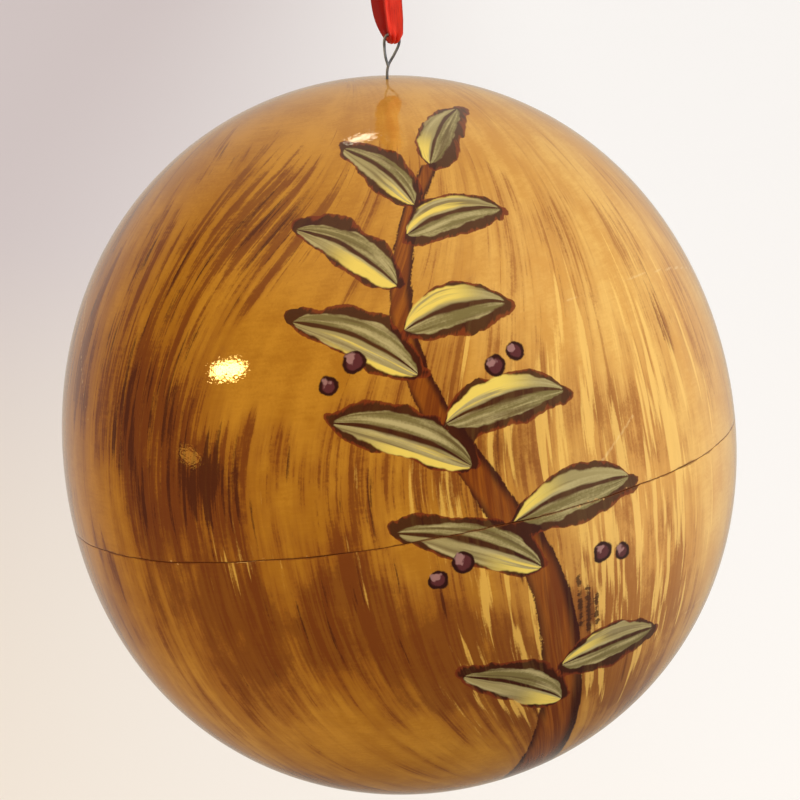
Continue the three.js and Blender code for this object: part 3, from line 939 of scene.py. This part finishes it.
# %% Material: dull drawn steel
tree, shader = new_material("dull drawn steel wire", wire)
place = node(tree, "TexCoord", {}, "Object")
drawn = pattern(tree, place, (0.071 * MM, 0.071 * MM, 0.625 * MM), detail=3.0)
dull = cover(tree, 0.35, 0.7, pattern(tree, place, [0.7 * MM] * 3))
relief = node(tree, "Bump", {"Strength": 0.3, "Distance": 0.01 * MM, "Height": drawn})
plug(tree, shader.inputs, {
    "Base Color": over(tree, "8f959d", ("62676e", dull)), "Metallic": 0.5,
    "Roughness": weighed(tree, 0.35, (drawn, 0.3)), "Normal": relief,
})
print("steel nodes:", len(tree.nodes))

# %% [markdown]
# The studio has a pale floor well below the ball, which fills the picture behind it. A wall would
# do too, but the side views would show its edge. The floor is greyer towards the left and warmer
# where it comes near: painted shade on the left and painted light near by, standing in for the
# light's falloff across the backdrop. The varnish doesn't mirror it: it mirrors the room's own
# lower half, which has no edge either.

# %% Floor
FLOOR_DROP = 0.62
FLOOR_HALF = 9.0
corners = np.array([[-1, -1, 0], [1, -1, 0], [1, 1, 0], [-1, 1, 0]]) * FLOOR_HALF
corners[:, 2] = -FLOOR_DROP
floor = new_piece("floor", corners, [np.array([[0, 1, 2, 3]])], closed=False)
floor.visible_glossy = False
tree, shader = new_material("pale painted floor", floor)
place = node(tree, "TexCoord", {}, "Object")
to_right, to_back, _ = node(tree, "SeparateXYZ", {0: place}, None)
# Painted shade: the floor is greyer towards the left and the back, and warmer where it comes near.
left_painted_shade = over(tree, "d4cacb", ("eadecf", cover(tree, 2.9, 1.1, to_back)))
# Painted light: the floor turns white towards the right.
painted_light_to_right = cover(tree, -0.575, 0.325, to_right, (pattern(tree, place, [1.25] * 3), 0.05))
plug(tree, shader.inputs, {"Base Color": over(tree, left_painted_shade, ("ffffff", painted_light_to_right)),
                           "Roughness": 0.9})

# %% [markdown]
# A gloss shows its whole room, so the room matters more than the lamps. It is bright behind the
# ball, which whitens the outline, and bright at the right and above. It is dim at the front, or
# its mirror image would veil the browns.

# %% Room
world = bpy.data.worlds.new("white room")
world.use_nodes = True
scene.world = world
tree = world.node_tree
direction = node(tree, "SeparateXYZ", {0: node(tree, "TexCoord", {}, "Generated")}, None)
# Glows: the axis they lie towards, where they start and are full, and how bright they are.
ROOM_BASE = 0.10
GLOWS = [(1, 0.2, 0.9, 0.50), (0, 0.35, 1.0, 0.35), (2, 0.5, 1.0, 0.40)]
room = ROOM_BASE
for axis, start, full, strength in GLOWS:
    room = weighed(tree, room, (cover(tree, start, full, direction[axis]), strength))
dimmed = weighed(tree, 1.0, (cover(tree, -0.25, -0.85, direction[2]), -0.65))
room = node(tree, "Math", {0: room, 1: dimmed}, operation="MULTIPLY")
plug(tree, tree.nodes["Background"].inputs, {"Color": "fff4e4", "Strength": room})
print("room:", len(GLOWS), "glows,", len(tree.nodes), "nodes")

# %% [markdown]
# Two wide, soft suns light the paint: a window from the upper right and the room from the front.
# The varnish doesn't mirror them, because the real room has no such bright discs.

# %% Soft light
def new_light(name, kind, energy, colour, back, roll=0.0, place=(0, 0, 0), **shape):
    """A light whose back points this way, turned about its own beam by roll."""
    light = bpy.data.objects.new(name, bpy.data.lights.new(name, kind))
    light.data.energy = energy
    light.data.color = linear(colour)[:3]
    for key, value in shape.items():
        setattr(light.data, key, value)
    turn = Vector(back).to_track_quat("Z", "Y") @ Quaternion((0, 0, 1), roll)
    light.matrix_world = Matrix.LocRotScale(Vector(place), turn, None)
    scene.collection.objects.link(light)
    return light


# Name, direction towards it, strength, spread in degrees.
SUNS = [("window light", (0.62, -0.42, 0.66), 2.42, 60),
        ("room light", (-0.45, -0.75, 0.45), 0.62, 90)]
for name, towards, strength, spread in SUNS:
    sun = new_light(name, "SUN", strength, "fafbff", towards, angle=math.radians(spread))
    sun.visible_glossy = False
    print(name, "strength:", strength)

# %% [markdown]
# What the varnish does mirror are three small lamps, which make the highlights. Each highlight has
# its place on the ball, and its lamp stands where the camera sees the mirror image just there.
# That beats moving lamps about by eye.

# %% Highlights
LAMP_DISTANCE = 1.2
TINY = 1e-4  # radians, the step by which the surface's slope is taken
# Name, place of its image on the ball in degrees, width and height in metres, roll in degrees,
# power in watts, colour.
HIGHLIGHTS = [
    ("main lamp", -25.0, 65.3, 0.27, 0.085, 22, 5.0, "ffd878"),
    ("small lamp", 6.6, 27.3, 0.15, 0.06, 10, 0.34, "fff0d0"),
    ("far lamp", -32.9, 78.3, 0.17, 0.07, 0, 0.16, "ffb43c"),
]
for name, around, down, width, height, roll, power, colour in HIGHLIGHTS:
    around, down = np.radians([around, down])
    here = ball_point(around, down)
    sideways, downwards = ball_point(around + TINY, down), ball_point(around, down + TINY)
    normal = unit(np.cross(sideways - here, downwards - here))
    view = unit(camera_place - here)
    # A mirror image lies towards twice the normal's share of the view, less the view.
    towards = 2 * (view @ normal) * normal - view
    place = here + LAMP_DISTANCE * towards
    new_light(name, "AREA", power, colour, towards, math.radians(roll), place,
              shape="ELLIPSE", size=width, size_y=height)
    print(name, "stands at, m:", place.round(3))
